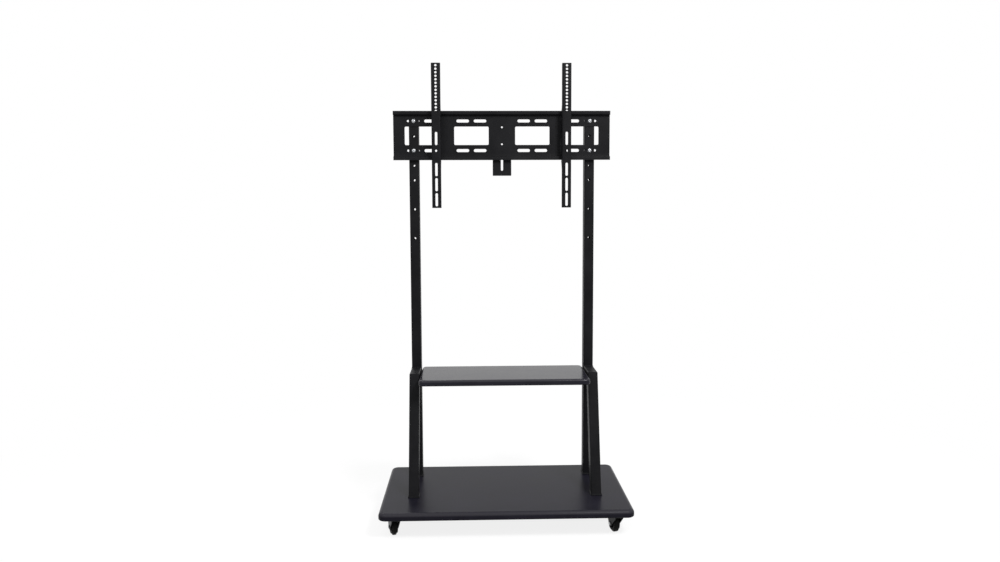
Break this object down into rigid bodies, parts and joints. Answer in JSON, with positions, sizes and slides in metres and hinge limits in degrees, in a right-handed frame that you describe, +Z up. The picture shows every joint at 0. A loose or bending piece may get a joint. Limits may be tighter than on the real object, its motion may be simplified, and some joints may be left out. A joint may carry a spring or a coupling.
{
  "type": "rolling screen stand with shelf",
  "caption": "Rolling stand for a flat screen: a black base board on braked casters, two tube uprights with leaning legs, a shelf, and a steel mount plate with two slotted hanging arms",
  "frame": {"origin": "on the floor under the middle of the base board", "axes": "x to the right as seen from the front, y to the back, z up; the front faces -y"},
  "size_m": [0.73, 0.435, 1.3794],
  "materials": {
    "board": "satin black laminate",
    "coated_steel": "satin black powder coat",
    "zinc_steel": "bright zinc plate",
    "caster_steel": "black lacquer",
    "plastic": "moulded black",
    "rubber": "matte black"
  },
  "bodies": {
    "stand": {"base_board": "board", "shelf_board": "board", "mount_plate": "coated_steel", "lock_tab": "coated_steel", "left_upright": "coated_steel", "left_upright_cap": "plastic", "left_front_leg": "coated_steel", "left_shelf_arm": "coated_steel", "left_shelf_angle": "coated_steel", "left_upright_foot": "coated_steel", "left_leg_foot": "coated_steel", "left_upright_foot_bolt": "zinc_steel", "left_leg_foot_bolt": "zinc_steel", "left_upper_plate_bolt": "zinc_steel", "left_lower_plate_bolt": "zinc_steel", "left_upper_plate_nut": "zinc_steel", "left_lower_plate_nut": "zinc_steel", "right_upright": "coated_steel", "right_upright_cap": "plastic", "right_front_leg": "coated_steel", "right_shelf_arm": "coated_steel", "right_shelf_angle": "coated_steel", "right_upright_foot": "coated_steel", "right_leg_foot": "coated_steel", "right_upright_foot_bolt": "zinc_steel", "right_leg_foot_bolt": "zinc_steel", "right_upper_plate_bolt": "zinc_steel", "right_lower_plate_bolt": "zinc_steel", "right_upper_plate_nut": "zinc_steel", "right_lower_plate_nut": "zinc_steel", "front_left_caster_plate": "caster_steel", "front_right_caster_plate": "caster_steel", "rear_left_caster_plate": "caster_steel", "rear_right_caster_plate": "caster_steel"},
    "front_left_swivel": {"front_left_caster_fork": "caster_steel", "front_left_caster_axle": "zinc_steel"},
    "front_left_wheel": {"front_left_caster_hub": "plastic", "front_left_caster_tyre": "rubber"},
    "front_left_pedal": {"front_left_caster_brake": "plastic"},
    "front_right_swivel": {"front_right_caster_fork": "caster_steel", "front_right_caster_axle": "zinc_steel"},
    "front_right_wheel": {"front_right_caster_hub": "plastic", "front_right_caster_tyre": "rubber"},
    "front_right_pedal": {"front_right_caster_brake": "plastic"},
    "rear_left_swivel": {"rear_left_caster_fork": "caster_steel", "rear_left_caster_axle": "zinc_steel"},
    "rear_left_wheel": {"rear_left_caster_hub": "plastic", "rear_left_caster_tyre": "rubber"},
    "rear_left_pedal": {"rear_left_caster_brake": "plastic"},
    "rear_right_swivel": {"rear_right_caster_fork": "caster_steel", "rear_right_caster_axle": "zinc_steel"},
    "rear_right_wheel": {"rear_right_caster_hub": "plastic", "rear_right_caster_tyre": "rubber"},
    "rear_right_pedal": {"rear_right_caster_brake": "plastic"},
    "left_arm": {"left_mount_arm": "coated_steel", "left_safety_screw": "zinc_steel"},
    "right_arm": {"right_mount_arm": "coated_steel", "right_safety_screw": "zinc_steel"}
  },
  "joints": [
    {"name": "front_left_swivel_turn", "type": "hinge", "parent": "stand", "child": "front_left_swivel", "pos_m": [-0.3205, -0.173, 0.05325], "axis": [0, 0, 1], "continuous": true},
    {"name": "front_left_wheel_roll", "type": "hinge", "parent": "front_left_swivel", "child": "front_left_wheel", "pos_m": [-0.32635, -0.15387, 0.02479], "axis": [0.9563, 0.2924, 0], "continuous": true},
    {"name": "front_left_brake_press", "type": "hinge", "parent": "front_left_swivel", "child": "front_left_pedal", "pos_m": [-0.33161, -0.13666, 0.0495], "axis": [-0.9563, -0.2924, 0], "range_deg": [0, 30]},
    {"name": "front_right_swivel_turn", "type": "hinge", "parent": "stand", "child": "front_right_swivel", "pos_m": [0.3205, -0.173, 0.05325], "axis": [0, 0, 1], "continuous": true},
    {"name": "front_right_wheel_roll", "type": "hinge", "parent": "front_right_swivel", "child": "front_right_wheel", "pos_m": [0.31499, -0.15377, 0.02479], "axis": [0.9613, 0.2756, 0], "continuous": true},
    {"name": "front_right_brake_press", "type": "hinge", "parent": "front_right_swivel", "child": "front_right_pedal", "pos_m": [0.31003, -0.13647, 0.0495], "axis": [-0.9613, -0.2756, 0], "range_deg": [0, 30]},
    {"name": "rear_left_swivel_turn", "type": "hinge", "parent": "stand", "child": "rear_left_swivel", "pos_m": [-0.3205, 0.173, 0.05325], "axis": [0, 0, 1], "continuous": true},
    {"name": "rear_left_wheel_roll", "type": "hinge", "parent": "rear_left_swivel", "child": "rear_left_wheel", "pos_m": [-0.3205, 0.153, 0.02479], "axis": [-1, 0, 0], "continuous": true},
    {"name": "rear_left_brake_press", "type": "hinge", "parent": "rear_left_swivel", "child": "rear_left_pedal", "pos_m": [-0.3205, 0.135, 0.0495], "axis": [1, 0, 0], "range_deg": [0, 30]},
    {"name": "rear_right_swivel_turn", "type": "hinge", "parent": "stand", "child": "rear_right_swivel", "pos_m": [0.3205, 0.173, 0.05325], "axis": [0, 0, 1], "continuous": true},
    {"name": "rear_right_wheel_roll", "type": "hinge", "parent": "rear_right_swivel", "child": "rear_right_wheel", "pos_m": [0.32259, 0.15311, 0.02479], "axis": [-0.9945, -0.1045, 0], "continuous": true},
    {"name": "rear_right_brake_press", "type": "hinge", "parent": "rear_right_swivel", "child": "rear_right_pedal", "pos_m": [0.32447, 0.13521, 0.0495], "axis": [0.9945, 0.1045, 0], "range_deg": [0, 30]},
    {"name": "left_arm_slide", "type": "slide", "parent": "stand", "child": "left_arm", "axis": [1, 0, 0], "range_m": [-0.1, 0.1]},
    {"name": "right_arm_slide", "type": "slide", "parent": "stand", "child": "right_arm", "axis": [1, 0, 0], "range_m": [-0.1, 0.1]}
  ]
}
